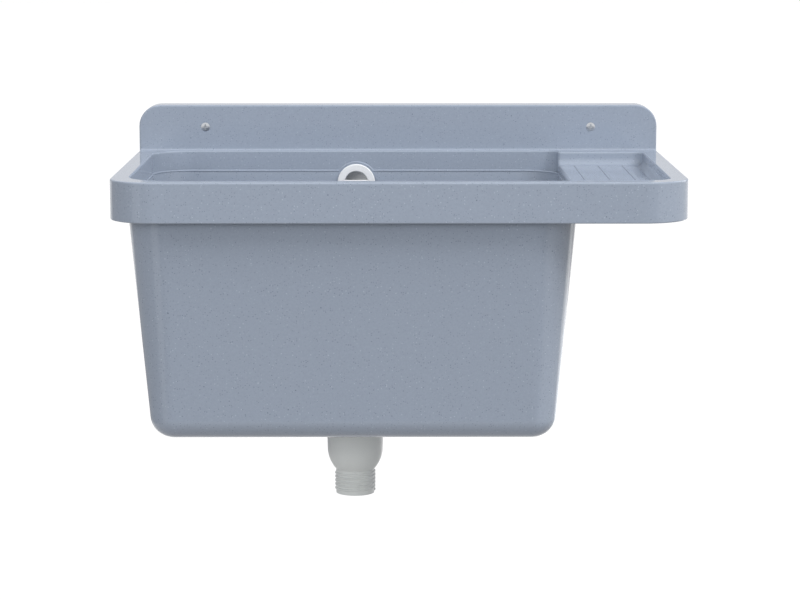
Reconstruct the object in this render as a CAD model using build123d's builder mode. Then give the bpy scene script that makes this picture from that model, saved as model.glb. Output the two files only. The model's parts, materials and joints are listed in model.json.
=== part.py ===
from build123d import *
import os
from math import cos, pi, sin

# A wall-hung utility sink: a moulded basin with bowl, soap tray and backsplash, its overflow and its
# drain with a lift-out strainer. Millimetres. The wall is the plane y = 0, the front faces -Y, the flat
# top of the rim is z = 0 and x = 0 is the middle of the basin's width.

os.makedirs("parts", exist_ok=True)

# Basin, outside
sink_width = 610.0
sink_depth = 397.0
apron_height = 43.0
wall = 5.0
bowl_wall = 4.6
rim_corner_radius = 50.0
rim_edge_radius = 2.0
apron_foot_radius = 1.5
backsplash_height = 53.0
backsplash_depth = 30.0
backsplash_corner_radius = 25.0
cove_radius = 2.0

# Basin, inside
rim_land = 20.0
back_land = 8.0
mouth_edge_radius = 2.0
bowl_mouth_length = 471.5
recess_depth = 24.0
recess_left_radius = 45.0
recess_right_radius = 14.0
recess_front_radius = 2.5
ledge_width = 0.6
bead_depth = 23.8
bead_radius = 1.3
bowl_depth = 276.6
bowl_corner_radius = 45.0
bowl_draft = 5.25
bowl_floor_radius = 20.0
tray_depth = 15.0
tray_back_step = 20.0
tray_front_step = 7.0
tray_back_corner_radius = 12.0
tray_front_corner_radius = 20.0
tray_floor_radius = 8.0
tray_lip_radius = 4.0
soap_rib_spacing = 28.0
soap_rib_margin = 8.0
soap_rib_width = 6.0
soap_rib_height = 0.9
soap_rib_edge_radius = 0.8
soap_rib_end_gap = 4.0

# How far from its expected place an edge may lie when it is picked for rounding
pick_margin = 0.1

# Webs under the rim and behind the backsplash
web_thickness = 3.0
web_foot_gap = 6.0
web_rows = (-120.0, -215.0, -310.0)
web_columns = (-200.0, 100.0, 240.0)
splash_web_shares = (-1, -0.5, 0, 0.5, 1)

# Wall screws
screw_spacing = 454.0
screw_height = 27.1
screw_head_radius = 5.25
screw_dome = 1.0
screw_shank_radius = 2.3
screw_thread_radius = 2.5
screw_reach = 40.0
screw_tip = 6.0
screw_clearance = 0.1
screw_hole_radius = 2.9
screw_boss_radius = 8.0
cross_width = 1.6
cross_span = 6.4
cross_depth = 2.2

# Overflow
overflow_depth = 38.0
overflow_pad_radius = 24.2
overflow_pad_proud = 0.25
overflow_boss_radius = 24.5
overflow_boss_height = 1.0
overflow_cut_margin = 1.0
rosette_radius = 22.2
rosette_thickness = 3.0
rosette_bore = 13.75
rosette_edge_radius = 1.2
sleeve_radius = 15.3
sleeve_clearance = 0.1
overflow_hole_clearance = 0.5
overflow_seal_thickness = 2.5
elbow_flange_radius = 22.0
elbow_flange_thickness = 3.0
elbow_radius = 18.0
elbow_wall = 3.0
elbow_wall_gap = 7.5
elbow_edge_radius = 3.0
sleeve_grip = 5.0

# Overflow hose and its clips
spigot_radius = 8.5
spigot_bore = 6.3
spigot_length = 25.0
hose_bore_clearance = 0.1
hose_wall = 1.2
hose_rib_height = 1.4
hose_rib_pitch = 4.0
hose_cuff_wall = 1.6
hose_cuff_length = 23.0
hose_end_gap = 2.0
hose_bend_radius = 90.0
clip_clearance = 0.1
clip_thickness = 0.8
clip_width = 9.0
clip_housing_height = 5.5
clip_housing_length = 11.0
clip_screw_radius = 1.9
clip_screw_clearance = 0.1
clip_screw_overhang = 3.0
clip_head_flats = 7.0
clip_head_height = 4.0
clip_slot_width = 1.0

# Drain
drain_wall_distance = 190.0
drain_recess_radius = 38.0
drain_recess_depth = 3.0
drain_hole_radius = 27.0
drain_pad_radius = 46.0
drain_pad_height = 4.3
top_seal_inner_radius = 29.0
top_seal_thickness = 1.5
flange_radius = 36.5
flange_sheet = 1.2
dish_radius = 25.0
dish_depth = 22.0
strainer_hole_count = 12
strainer_hole_radius = 2.2
strainer_hole_circle = 13.5
lower_seal_thickness = 3.0
lower_seal_inner_radius = 28.0
cup_flange_radius = 43.0
cup_flange_thickness = 5.0
cup_wall = 3.0
bell_top_radius = 32.0
bell_low_radius = 31.3
bell_straight = 35.0
bell_height = 59.5
tail_root_radius = 21.7
tail_bore = 18.5
tail_length = 27.5
thread_height = 1.3
thread_pitch = 4.4
thread_turns = 5
thread_start = 3.0
thread_crest = 1.2
thread_foot = 3.2
hub_radius = 8.5
hub_gap = 1.5
hub_height = 19.0
hub_web = 2.5
hub_web_height = 14.0
hub_web_angles = (30, 150, 270)
cup_spigot_depth = 22.0
drain_screw_radius = 2.9
drain_screw_head_radius = 5.5
drain_screw_head_height = 3.0
drain_screw_clearance = 0.3
nut_flats = 10.0
nut_height = 5.0
nut_clearance = 0.15
nut_recess = 1.0

# Lift-out strainer basket
basket_clearance = 0.6
basket_taper = 1.7
basket_sheet = 0.8
basket_top_gap = 1.0
basket_hole_radius = 1.5
basket_inner_ring_radius = 10.0
basket_inner_hole_count = 8
basket_outer_ring_radius = 16.0
basket_outer_hole_count = 14
basket_side_count = 18
seal_seat_gap = 0.3
seal_lip_height = 4.7
seal_disc_thickness = 2.0
seal_radius = 21.0
seal_lip_width = 4.0
stem_radius = 2.5
stem_clearance = 0.1
stem_collar_radius = 4.5
stem_collar_height = 2.0
stem_height = 19.0
stem_clip_radius = 6.0
stem_clip_thickness = 1.0
stem_end = 0.6
knob_radius = 8.0
knob_waist_radius = 5.2
knob_height = 11.0
knob_head_height = 6.0
knob_top_edge_radius = 3.5
knob_brim_edge_radius = 1.0
knob_grip = 6.0

# Places worked out from the sizes above
mouth_left = -(sink_width / 2 - rim_land)
mouth_right = sink_width / 2 - rim_land
mouth_front = -(sink_depth - rim_land)
mouth_back = -(backsplash_depth + back_land)
bowl_right = mouth_left + bowl_mouth_length
tray_back = mouth_back - tray_back_step
tray_front = mouth_front + tray_front_step
bowl_x = (mouth_left + bowl_right) / 2
bowl_y = (mouth_front + mouth_back) / 2
mouth_width = mouth_back - mouth_front
bowl_length = bowl_mouth_length - 2 * ledge_width
bowl_width = mouth_width - 2 * ledge_width
tray_left = bowl_right - 2 * tray_lip_radius - recess_right_radius
tray_length = tray_back - tray_front
tray_y = (tray_front + tray_back) / 2
floor_z = -bowl_depth
bowl_foot_z = floor_z - bowl_wall
drain_pad_z = bowl_foot_z - drain_pad_height


def along_y(x, y, z):
    """A place whose local Z runs toward the wall."""
    return Plane(origin=(x, y, z), x_dir=(1, 0, 0), z_dir=(0, 1, 0))


def upright(x, y):
    """A plane through the axis at (x, y) for a turned profile: local X is the radius, local Y is z."""
    return Plane(origin=(x, y, 0), x_dir=(1, 0, 0), z_dir=(0, -1, 0))


# The bowl's outside, from the ledge down to its foot, with the pad that the drain is clamped to
with BuildPart() as bowl_shell:
    with BuildSketch(Plane.XY.offset(-recess_depth)):
        with Locations((bowl_x, bowl_y)):
            RectangleRounded(
                bowl_length + 2 * bowl_wall, bowl_width + 2 * bowl_wall, bowl_corner_radius + bowl_wall
            )
    extrude(amount=-(bowl_depth + bowl_wall - recess_depth), taper=bowl_draft)
    fillet(bowl_shell.faces().sort_by(Axis.Z)[0].edges(), bowl_floor_radius + bowl_wall)
    with BuildSketch(Plane.XY.offset(bowl_foot_z)):
        with Locations((bowl_x, -drain_wall_distance)):
            Circle(drain_pad_radius)
    extrude(amount=-drain_pad_height)

# The walls around the upper recess and the soap tray, as solid blocks
with BuildPart() as upper_shell:
    with BuildSketch() as recess_block:
        with Locations((bowl_x, bowl_y)):
            Rectangle(bowl_mouth_length + 2 * wall, mouth_width + 2 * wall)
        fillet(recess_block.vertices().group_by(Axis.X)[0], recess_left_radius + wall)
        fillet(recess_block.vertices().group_by(Axis.X)[-1].sort_by(Axis.Y)[0], recess_front_radius + wall)
        fillet(recess_block.vertices().group_by(Axis.X)[-1].sort_by(Axis.Y)[-1], recess_right_radius + wall)
    extrude(amount=-(recess_depth + wall))
    with BuildSketch() as tray_block:
        with Locations(((tray_left + mouth_right + wall) / 2, tray_y)):
            Rectangle(mouth_right + wall - tray_left, tray_length + 2 * wall)
        tray_corners = tray_block.vertices().group_by(Axis.X)[-1].sort_by(Axis.Y)
        fillet(tray_corners[0], tray_front_corner_radius + wall)
        fillet(tray_corners[-1], tray_back_corner_radius + wall)
    extrude(amount=-(tray_depth + wall))

# The hollow under the rim, crossed by webs
with BuildPart() as underside:
    with BuildSketch(Plane.XY.offset(-apron_height)) as underside_outline:
        with Locations((0, -sink_depth / 2)):
            Rectangle(sink_width - 2 * wall, sink_depth - 2 * wall)
        fillet(underside_outline.vertices().group_by(Axis.Y)[0], rim_corner_radius - wall)
    extrude(amount=apron_height - wall)
    add(bowl_shell.part, mode=Mode.SUBTRACT)
    add(upper_shell.part, mode=Mode.SUBTRACT)
    web_z = -apron_height + web_foot_gap
    for y in web_rows:
        with Locations((0, y, web_z)):
            Box(
                sink_width, web_thickness, apron_height,
                align=(Align.CENTER, Align.CENTER, Align.MIN), mode=Mode.SUBTRACT,
            )
    for x in web_columns:
        with Locations((x, -sink_depth / 2, web_z)):
            Box(
                web_thickness, sink_depth, apron_height,
                align=(Align.CENTER, Align.CENTER, Align.MIN), mode=Mode.SUBTRACT,
            )

# The hollow behind the backsplash, with a web through each screw boss and between them
with BuildPart() as splash_hollow:
    with BuildSketch(Plane.XZ) as splash_outline:
        with Locations((0, (backsplash_height - wall) / 2)):
            Rectangle(sink_width - 2 * wall, backsplash_height - wall)
        fillet(splash_outline.vertices().group_by(Axis.Y)[-1], backsplash_corner_radius - wall)
    extrude(amount=backsplash_depth - wall)
    for share in splash_web_shares:
        with Locations((share * screw_spacing / 2, -backsplash_depth / 2, backsplash_height / 2)):
            Box(web_thickness, backsplash_depth, backsplash_height, mode=Mode.SUBTRACT)
    for side in (-1, 1):
        with BuildSketch(Plane.XZ):
            with Locations((side * screw_spacing / 2, screw_height)):
                Circle(screw_boss_radius)
        extrude(amount=backsplash_depth, mode=Mode.SUBTRACT)

# The space of the soap tray, run into the bowl's space
with BuildPart() as tray_space:
    with BuildSketch() as tray_outline:
        with Locations(((tray_left + mouth_right) / 2, tray_y)):
            Rectangle(mouth_right - tray_left, tray_length)
        fillet(tray_outline.vertices().group_by(Axis.X)[-1].sort_by(Axis.Y)[0], tray_front_corner_radius)
        fillet(tray_outline.vertices().group_by(Axis.X)[-1].sort_by(Axis.Y)[-1], tray_back_corner_radius)
    extrude(amount=-tray_depth)
    fillet(tray_space.faces().sort_by(Axis.Z)[0].edges(), tray_floor_radius)

# The whole inner space: upper recess, tapered bowl, flat pad for the overflow, soap tray
overflow_z = -overflow_depth
pad_y = mouth_back - ledge_width - overflow_pad_proud
with BuildPart() as inner_space:
    with BuildSketch() as recess_outline:
        with Locations((bowl_x, bowl_y)):
            Rectangle(bowl_mouth_length, mouth_width)
        fillet(recess_outline.vertices().group_by(Axis.X)[0], recess_left_radius)
        fillet(recess_outline.vertices().group_by(Axis.X)[-1].sort_by(Axis.Y)[0], recess_front_radius)
        fillet(recess_outline.vertices().group_by(Axis.X)[-1].sort_by(Axis.Y)[-1], recess_right_radius)
    extrude(amount=-recess_depth)
    with BuildSketch(Plane.XY.offset(-recess_depth)):
        with Locations((bowl_x, bowl_y)):
            RectangleRounded(bowl_length, bowl_width, bowl_corner_radius)
    extrude(amount=-(bowl_depth - recess_depth), taper=bowl_draft)
    fillet(inner_space.faces().sort_by(Axis.Z)[0].edges(), bowl_floor_radius)
    with BuildSketch(along_y(bowl_x, pad_y, overflow_z)):
        Circle(overflow_pad_radius)
    extrude(amount=-overflow_pad_radius)
    with BuildSketch(along_y(bowl_x, pad_y, overflow_z)):
        Circle(overflow_pad_radius)
    extrude(amount=overflow_pad_radius, mode=Mode.SUBTRACT)
    add(tray_space.part)
    tray_lip = inner_space.edges().filter_by(
        lambda e: abs(e.center().X - bowl_right) < pick_margin
        and tray_front - pick_margin < e.center().Y < tray_back + pick_margin
        and -tray_depth - pick_margin < e.center().Z < 0
    )
    fillet(tray_lip, tray_lip_radius)
    with BuildSketch():
        with Locations((0, bowl_y)):
            Rectangle(mouth_right - mouth_left + rim_land, mouth_width + back_land)
    extrude(amount=rim_land)
    mouth_edges = inner_space.edges().filter_by(
        lambda e: abs(e.center().Z) < pick_margin
        and mouth_front - pick_margin < e.center().Y < mouth_back + pick_margin
        and mouth_left - pick_margin < e.center().X < mouth_right + pick_margin
    )
    fillet(mouth_edges, mouth_edge_radius)

# A half-round bead around the bowl's mouth, which arches over the overflow
with BuildSketch(Plane.XY.offset(-bead_depth)) as bead_outline:
    with Locations((bowl_x, bowl_y)):
        RectangleRounded(bowl_mouth_length, mouth_width, bowl_corner_radius)
bead_route = bead_outline.sketch.faces()[0].outer_wire()
with BuildPart() as bead_arch:
    with Locations(Location((bowl_x, mouth_back, overflow_z), (90, 0, 0))):
        Torus(overflow_pad_radius, bead_radius)
    with Locations((bowl_x, mouth_back, -bead_depth)):
        Box(
            4 * overflow_pad_radius, 4 * overflow_pad_radius, 4 * overflow_pad_radius,
            align=(Align.CENTER, Align.CENTER, Align.MAX), mode=Mode.SUBTRACT,
        )
with BuildPart() as bead:
    with BuildSketch(Plane(origin=bead_route @ 0, z_dir=bead_route % 0)):
        Circle(bead_radius)
    sweep(path=bead_route)
    with BuildSketch(along_y(bowl_x, mouth_back - overflow_pad_radius, overflow_z)):
        Circle(overflow_pad_radius)
    extrude(amount=2 * overflow_pad_radius, mode=Mode.SUBTRACT)
    add(bead_arch.part)

# Low ribs that keep the soap out of the water
with BuildPart() as soap_ribs:
    rib_length = tray_length - 2 * tray_floor_radius - 2 * soap_rib_end_gap
    rib_room = mouth_right - bowl_right - tray_lip_radius - tray_floor_radius - 2 * soap_rib_margin
    rib_count = int((rib_room - soap_rib_width) / soap_rib_spacing) + 1
    rib_x = (bowl_right + mouth_right) / 2 - (rib_count - 1) / 2 * soap_rib_spacing
    for i in range(rib_count):
        with Locations((rib_x + i * soap_rib_spacing, tray_y, -tray_depth - wall / 2)):
            Box(
                soap_rib_width, rib_length, wall / 2 + soap_rib_height,
                align=(Align.CENTER, Align.CENTER, Align.MIN),
            )
    rib_tops = soap_ribs.faces().group_by(Axis.Z)[-1]
    fillet(rib_tops.edges(), soap_rib_edge_radius)

# The basin: rim block and backsplash with one rounded edge all along, then the bowl, hollows and holes
overflow_boss_y = mouth_back + wall + overflow_boss_height
overflow_hole = sleeve_radius + overflow_hole_clearance
with BuildPart() as basin:
    with BuildSketch(Plane.XY.offset(-apron_height)) as rim_outline:
        with Locations((0, -sink_depth / 2)):
            Rectangle(sink_width, sink_depth)
        fillet(rim_outline.vertices().group_by(Axis.Y)[0], rim_corner_radius)
    extrude(amount=apron_height)
    with BuildSketch(Plane.XZ) as backsplash_outline:
        with Locations((0, backsplash_height / 2)):
            Rectangle(sink_width, backsplash_height)
        fillet(backsplash_outline.vertices().group_by(Axis.Y)[-1], backsplash_corner_radius)
    extrude(amount=backsplash_depth)
    cove = basin.edges().filter_by(
        lambda e: abs(e.center().Z) < pick_margin and abs(e.center().Y + backsplash_depth) < pick_margin
    )
    fillet(cove, cove_radius)
    rim_and_splash = basin.edges().filter_by(
        lambda e: e.center().Y < -pick_margin
        and e.center().Z > -pick_margin
        and (abs(e.center().Y + backsplash_depth) < pick_margin or e.center().Z < cove_radius)
        and not (
            abs(e.center().X) < pick_margin
            and -backsplash_depth - cove_radius - pick_margin < e.center().Y
            and e.center().Z < cove_radius + pick_margin
        )
    )
    fillet(rim_and_splash, rim_edge_radius)
    apron_foot = basin.edges().filter_by(
        lambda e: abs(e.center().Z + apron_height) < pick_margin and e.center().Y < -pick_margin
    )
    fillet(apron_foot, apron_foot_radius)
    add(bowl_shell.part)
    add(underside.part, mode=Mode.SUBTRACT)
    add(splash_hollow.part, mode=Mode.SUBTRACT)
    add(inner_space.part, mode=Mode.SUBTRACT)
    add(soap_ribs.part)
    add(bead.part)
    with BuildSketch(along_y(bowl_x, pad_y + overflow_cut_margin, overflow_z)):
        Circle(overflow_boss_radius)
    extrude(amount=overflow_boss_y - pad_y - overflow_cut_margin)
    with BuildSketch(along_y(bowl_x, pad_y - overflow_cut_margin, overflow_z)):
        Circle(overflow_hole)
    extrude(amount=overflow_boss_y - pad_y + 2 * overflow_cut_margin, mode=Mode.SUBTRACT)
    with BuildSketch(Plane.XY.offset(floor_z)):
        with Locations((bowl_x, -drain_wall_distance)):
            Circle(drain_recess_radius)
    extrude(amount=-drain_recess_depth, mode=Mode.SUBTRACT)
    with BuildSketch(Plane.XY.offset(floor_z)):
        with Locations((bowl_x, -drain_wall_distance)):
            Circle(drain_hole_radius)
    extrude(amount=-bowl_depth, mode=Mode.SUBTRACT)
    with Locations(
        *[
            Plane(origin=(side * screw_spacing / 2, -backsplash_depth, screw_height), z_dir=(0, -1, 0))
            for side in (-1, 1)
        ]
    ):
        CounterSinkHole(screw_hole_radius, screw_head_radius + screw_clearance, backsplash_depth, 90)
basin.part.label = "basin"
export_step(basin.part, "parts/basin.step")

# Two countersunk screws, smooth where they pass the backsplash and full thread width beyond the wall
with BuildPart() as wall_screws:
    for side in (-1, 1):
        screw_x = side * screw_spacing / 2
        neck_y = -backsplash_depth + screw_head_radius - screw_shank_radius
        with BuildSketch(Plane.YZ.offset(screw_x)):
            with BuildLine():
                Polyline(
                    (-backsplash_depth, screw_height + screw_head_radius),
                    (neck_y, screw_height + screw_shank_radius),
                    (0, screw_height + screw_shank_radius),
                    (0, screw_height + screw_thread_radius),
                    (screw_reach, screw_height + screw_thread_radius),
                    (screw_reach + screw_tip, screw_height),
                    (-backsplash_depth - screw_dome, screw_height),
                )
                ThreePointArc(
                    (-backsplash_depth - screw_dome, screw_height),
                    (-backsplash_depth - 0.75 * screw_dome, screw_height + screw_head_radius / 2),
                    (-backsplash_depth, screw_height + screw_head_radius),
                )
            make_face()
        revolve(axis=Axis((screw_x, 0, screw_height), (0, 1, 0)))
        with Locations((screw_x, -backsplash_depth - screw_dome, screw_height)):
            Box(
                cross_width, cross_depth, cross_span,
                align=(Align.CENTER, Align.MIN, Align.CENTER), mode=Mode.SUBTRACT,
            )
            Box(
                cross_span, cross_depth, cross_width,
                align=(Align.CENTER, Align.MIN, Align.CENTER), mode=Mode.SUBTRACT,
            )
wall_screws.part.label = "wall_screws"
export_step(wall_screws.part, "parts/wall_screws.step")

# The white overflow ring with its sleeve through the bowl's back wall
elbow_front = overflow_boss_y + overflow_seal_thickness
sleeve_end = elbow_front + sleeve_grip
with BuildPart() as overflow_rosette:
    with BuildSketch(along_y(bowl_x, pad_y, overflow_z)):
        Circle(rosette_radius)
    extrude(amount=-rosette_thickness)
    with BuildSketch(along_y(bowl_x, pad_y, overflow_z)):
        Circle(sleeve_radius)
    extrude(amount=sleeve_end - pad_y)
    with BuildSketch(along_y(bowl_x, pad_y - rosette_thickness, overflow_z)):
        Circle(rosette_bore)
    extrude(amount=sleeve_end - pad_y + rosette_thickness, mode=Mode.SUBTRACT)
    fillet(overflow_rosette.faces().sort_by(Axis.Y)[0].edges(), rosette_edge_radius)
overflow_rosette.part.label = "overflow_rosette"
export_step(overflow_rosette.part, "parts/overflow_rosette.step")

with BuildPart() as overflow_seal:
    with BuildSketch(along_y(bowl_x, overflow_boss_y, overflow_z)):
        Circle(elbow_flange_radius)
        Circle(overflow_hole, mode=Mode.SUBTRACT)
    extrude(amount=overflow_seal_thickness)
overflow_seal.part.label = "overflow_seal"
export_step(overflow_seal.part, "parts/overflow_seal.step")

# The elbow behind the bowl, which turns the water down into the hose
elbow_back = -elbow_wall_gap
chamber_back = elbow_back - elbow_wall
chamber_y = (sleeve_end + chamber_back) / 2
elbow_foot_z = overflow_z - elbow_flange_radius
spigot_end_z = elbow_foot_z - spigot_length
with BuildPart() as overflow_elbow:
    with BuildSketch(along_y(bowl_x, elbow_front, overflow_z)):
        Circle(elbow_radius)
    extrude(amount=elbow_back - elbow_front)
    fillet(overflow_elbow.faces().sort_by(Axis.Y)[-1].edges(), elbow_edge_radius)
    with BuildSketch(along_y(bowl_x, elbow_front, overflow_z)):
        Circle(elbow_flange_radius)
    extrude(amount=elbow_flange_thickness)
    with BuildSketch(Plane.XY.offset(overflow_z)):
        with Locations((bowl_x, chamber_y)):
            Circle(spigot_radius)
    extrude(amount=spigot_end_z - overflow_z)
    with BuildSketch(along_y(bowl_x, elbow_front, overflow_z)):
        Circle(sleeve_radius + sleeve_clearance)
    extrude(amount=chamber_back - elbow_front, mode=Mode.SUBTRACT)
    with BuildSketch(Plane.XY.offset(overflow_z)):
        with Locations((bowl_x, chamber_y)):
            Circle(spigot_bore)
    extrude(amount=spigot_end_z - overflow_z, mode=Mode.SUBTRACT)
overflow_elbow.part.label = "overflow_elbow"
export_step(overflow_elbow.part, "parts/overflow_elbow.step")

# The drain's levels, from the bowl's floor down
drain_y = -drain_wall_distance
lip_top_z = floor_z - drain_recess_depth + top_seal_thickness + flange_sheet
dish_floor_z = lip_top_z - dish_depth
cup_top_z = drain_pad_z - lower_seal_thickness
hub_top_z = dish_floor_z - flange_sheet - hub_gap
hub_foot_z = hub_top_z - hub_height
neck_z = cup_top_z - bell_height
tail_end_z = neck_z - tail_length
cup_spigot_z = cup_top_z - cup_spigot_depth
cup_spigot_end_y = drain_y + bell_top_radius + spigot_length
bell_straight_z = cup_top_z - bell_straight

# The ribbed hose: straight down from the elbow, one bend, straight into the cup's spigot
hose_bore = spigot_radius + hose_bore_clearance
hose_root = hose_bore + hose_wall
hose_crest = hose_root + hose_rib_height
hose_cuff = hose_bore + hose_cuff_wall
hose_top_z = elbow_foot_z - hose_end_gap
hose_end_y = drain_y + bell_top_radius + hose_end_gap
hose_drop = hose_top_z - cup_spigot_z - hose_bend_radius
hose_bend = hose_bend_radius * pi / 2
hose_run = chamber_y - hose_bend_radius - hose_end_y
hose_length = hose_drop + hose_bend + hose_run


def hose_plane(s):
    """The hose's cross-section at the distance s from its upper end."""
    if s <= hose_drop:
        return Plane(origin=(bowl_x, chamber_y, hose_top_z - s), x_dir=(1, 0, 0), z_dir=(0, 0, -1))
    if s >= hose_drop + hose_bend:
        y = chamber_y - hose_bend_radius - (s - hose_drop - hose_bend)
        return Plane(origin=(bowl_x, y, cup_spigot_z), x_dir=(1, 0, 0), z_dir=(0, -1, 0))
    turn = (s - hose_drop) / hose_bend_radius
    y = chamber_y - hose_bend_radius * (1 - cos(turn))
    z = hose_top_z - hose_drop - hose_bend_radius * sin(turn)
    return Plane(origin=(bowl_x, y, z), x_dir=(1, 0, 0), z_dir=(0, -sin(turn), -cos(turn)))


hose_rib_count = round((hose_length - 2 * hose_cuff_length) / hose_rib_pitch)
rib_step = (hose_length - 2 * hose_cuff_length) / hose_rib_count
rib_sections = ((0.1, hose_root), (0.3, hose_crest), (0.6, hose_crest), (0.8, hose_root))
with BuildPart() as overflow_hose:
    sections = [(0, hose_cuff), (hose_cuff_length, hose_cuff)]
    for i in range(hose_rib_count):
        for share, radius in rib_sections:
            sections.append((hose_cuff_length + (i + share) * rib_step, radius))
    sections += [(hose_length - hose_cuff_length, hose_cuff), (hose_length, hose_cuff)]
    for s, radius in sections:
        with BuildSketch(hose_plane(s)):
            Circle(radius)
    loft(ruled=True)
    with BuildLine() as hose_path:
        Line((bowl_x, chamber_y, hose_top_z), (bowl_x, chamber_y, hose_top_z - hose_drop))
        ThreePointArc(
            (bowl_x, chamber_y, hose_top_z - hose_drop),
            hose_plane(hose_drop + hose_bend / 2).origin,
            (bowl_x, chamber_y - hose_bend_radius, cup_spigot_z),
        )
        Line(
            (bowl_x, chamber_y - hose_bend_radius, cup_spigot_z),
            (bowl_x, hose_end_y, cup_spigot_z),
        )
    with BuildSketch(hose_plane(0)):
        Circle(hose_bore)
    sweep(path=hose_path.wires()[0], mode=Mode.SUBTRACT)
overflow_hose.part.label = "overflow_hose"
export_step(overflow_hose.part, "parts/overflow_hose.step")
print("hose length", round(hose_length, 1), "ribs", hose_rib_count, "bend radius", hose_bend_radius)


def clip_band(plane):
    """A worm-drive band around the hose's cuff: local Z is the hose's axis, the housing is on local +X."""
    inner = hose_cuff + clip_clearance
    outer = inner + clip_thickness
    with BuildPart() as band:
        Cylinder(outer, clip_width)
        with Locations((outer - clip_thickness / 2, 0, 0)):
            Box(
                clip_housing_height, clip_housing_length, clip_width,
                align=(Align.MIN, Align.CENTER, Align.CENTER),
            )
        Cylinder(inner, clip_width, mode=Mode.SUBTRACT)
        with Locations((outer + clip_housing_height / 2, 0, 0)):
            Cylinder(
                clip_screw_radius + clip_screw_clearance, clip_housing_length,
                rotation=(90, 0, 0), mode=Mode.SUBTRACT,
            )
    return band.part.moved(plane.location)


def clip_screw(plane):
    """The worm screw of one band, along local Y, with a slotted hexagon head."""
    outer = hose_cuff + clip_clearance + clip_thickness
    with BuildPart() as worm:
        with Locations((outer + clip_housing_height / 2, 0, 0)):
            Cylinder(clip_screw_radius, clip_housing_length + 2 * clip_screw_overhang, rotation=(90, 0, 0))
        head_y = clip_housing_length / 2 + clip_screw_overhang
        with BuildSketch(Plane(origin=(outer + clip_housing_height / 2, -head_y, 0), z_dir=(0, -1, 0))):
            RegularPolygon(clip_head_flats / 2, 6, major_radius=False)
        extrude(amount=clip_head_height)
        with Locations((outer + clip_housing_height / 2, -head_y - clip_head_height, 0)):
            Box(
                clip_slot_width, clip_head_height / 2, 2 * clip_head_flats,
                align=(Align.CENTER, Align.MIN, Align.CENTER), mode=Mode.SUBTRACT,
            )
    return worm.part.moved(plane.location)


# The upper band's housing faces the right, and so does the lower one's
upper_clip_place = Plane(
    origin=(bowl_x, chamber_y, hose_top_z - hose_cuff_length / 2), x_dir=(1, 0, 0), z_dir=(0, 0, 1)
)
lower_clip_place = Plane(
    origin=(bowl_x, hose_end_y + hose_cuff_length / 2, cup_spigot_z), x_dir=(1, 0, 0), z_dir=(0, 1, 0)
)
for clip_name, clip_place in (("hose_clip_upper", upper_clip_place), ("hose_clip_lower", lower_clip_place)):
    band_part = clip_band(clip_place)
    band_part.label = clip_name
    export_step(band_part, f"parts/{clip_name}.step")
with BuildPart() as clip_screws:
    add(clip_screw(upper_clip_place))
    add(clip_screw(lower_clip_place))
clip_screws.part.label = "clip_screws"
export_step(clip_screws.part, "parts/clip_screws.step")

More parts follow.
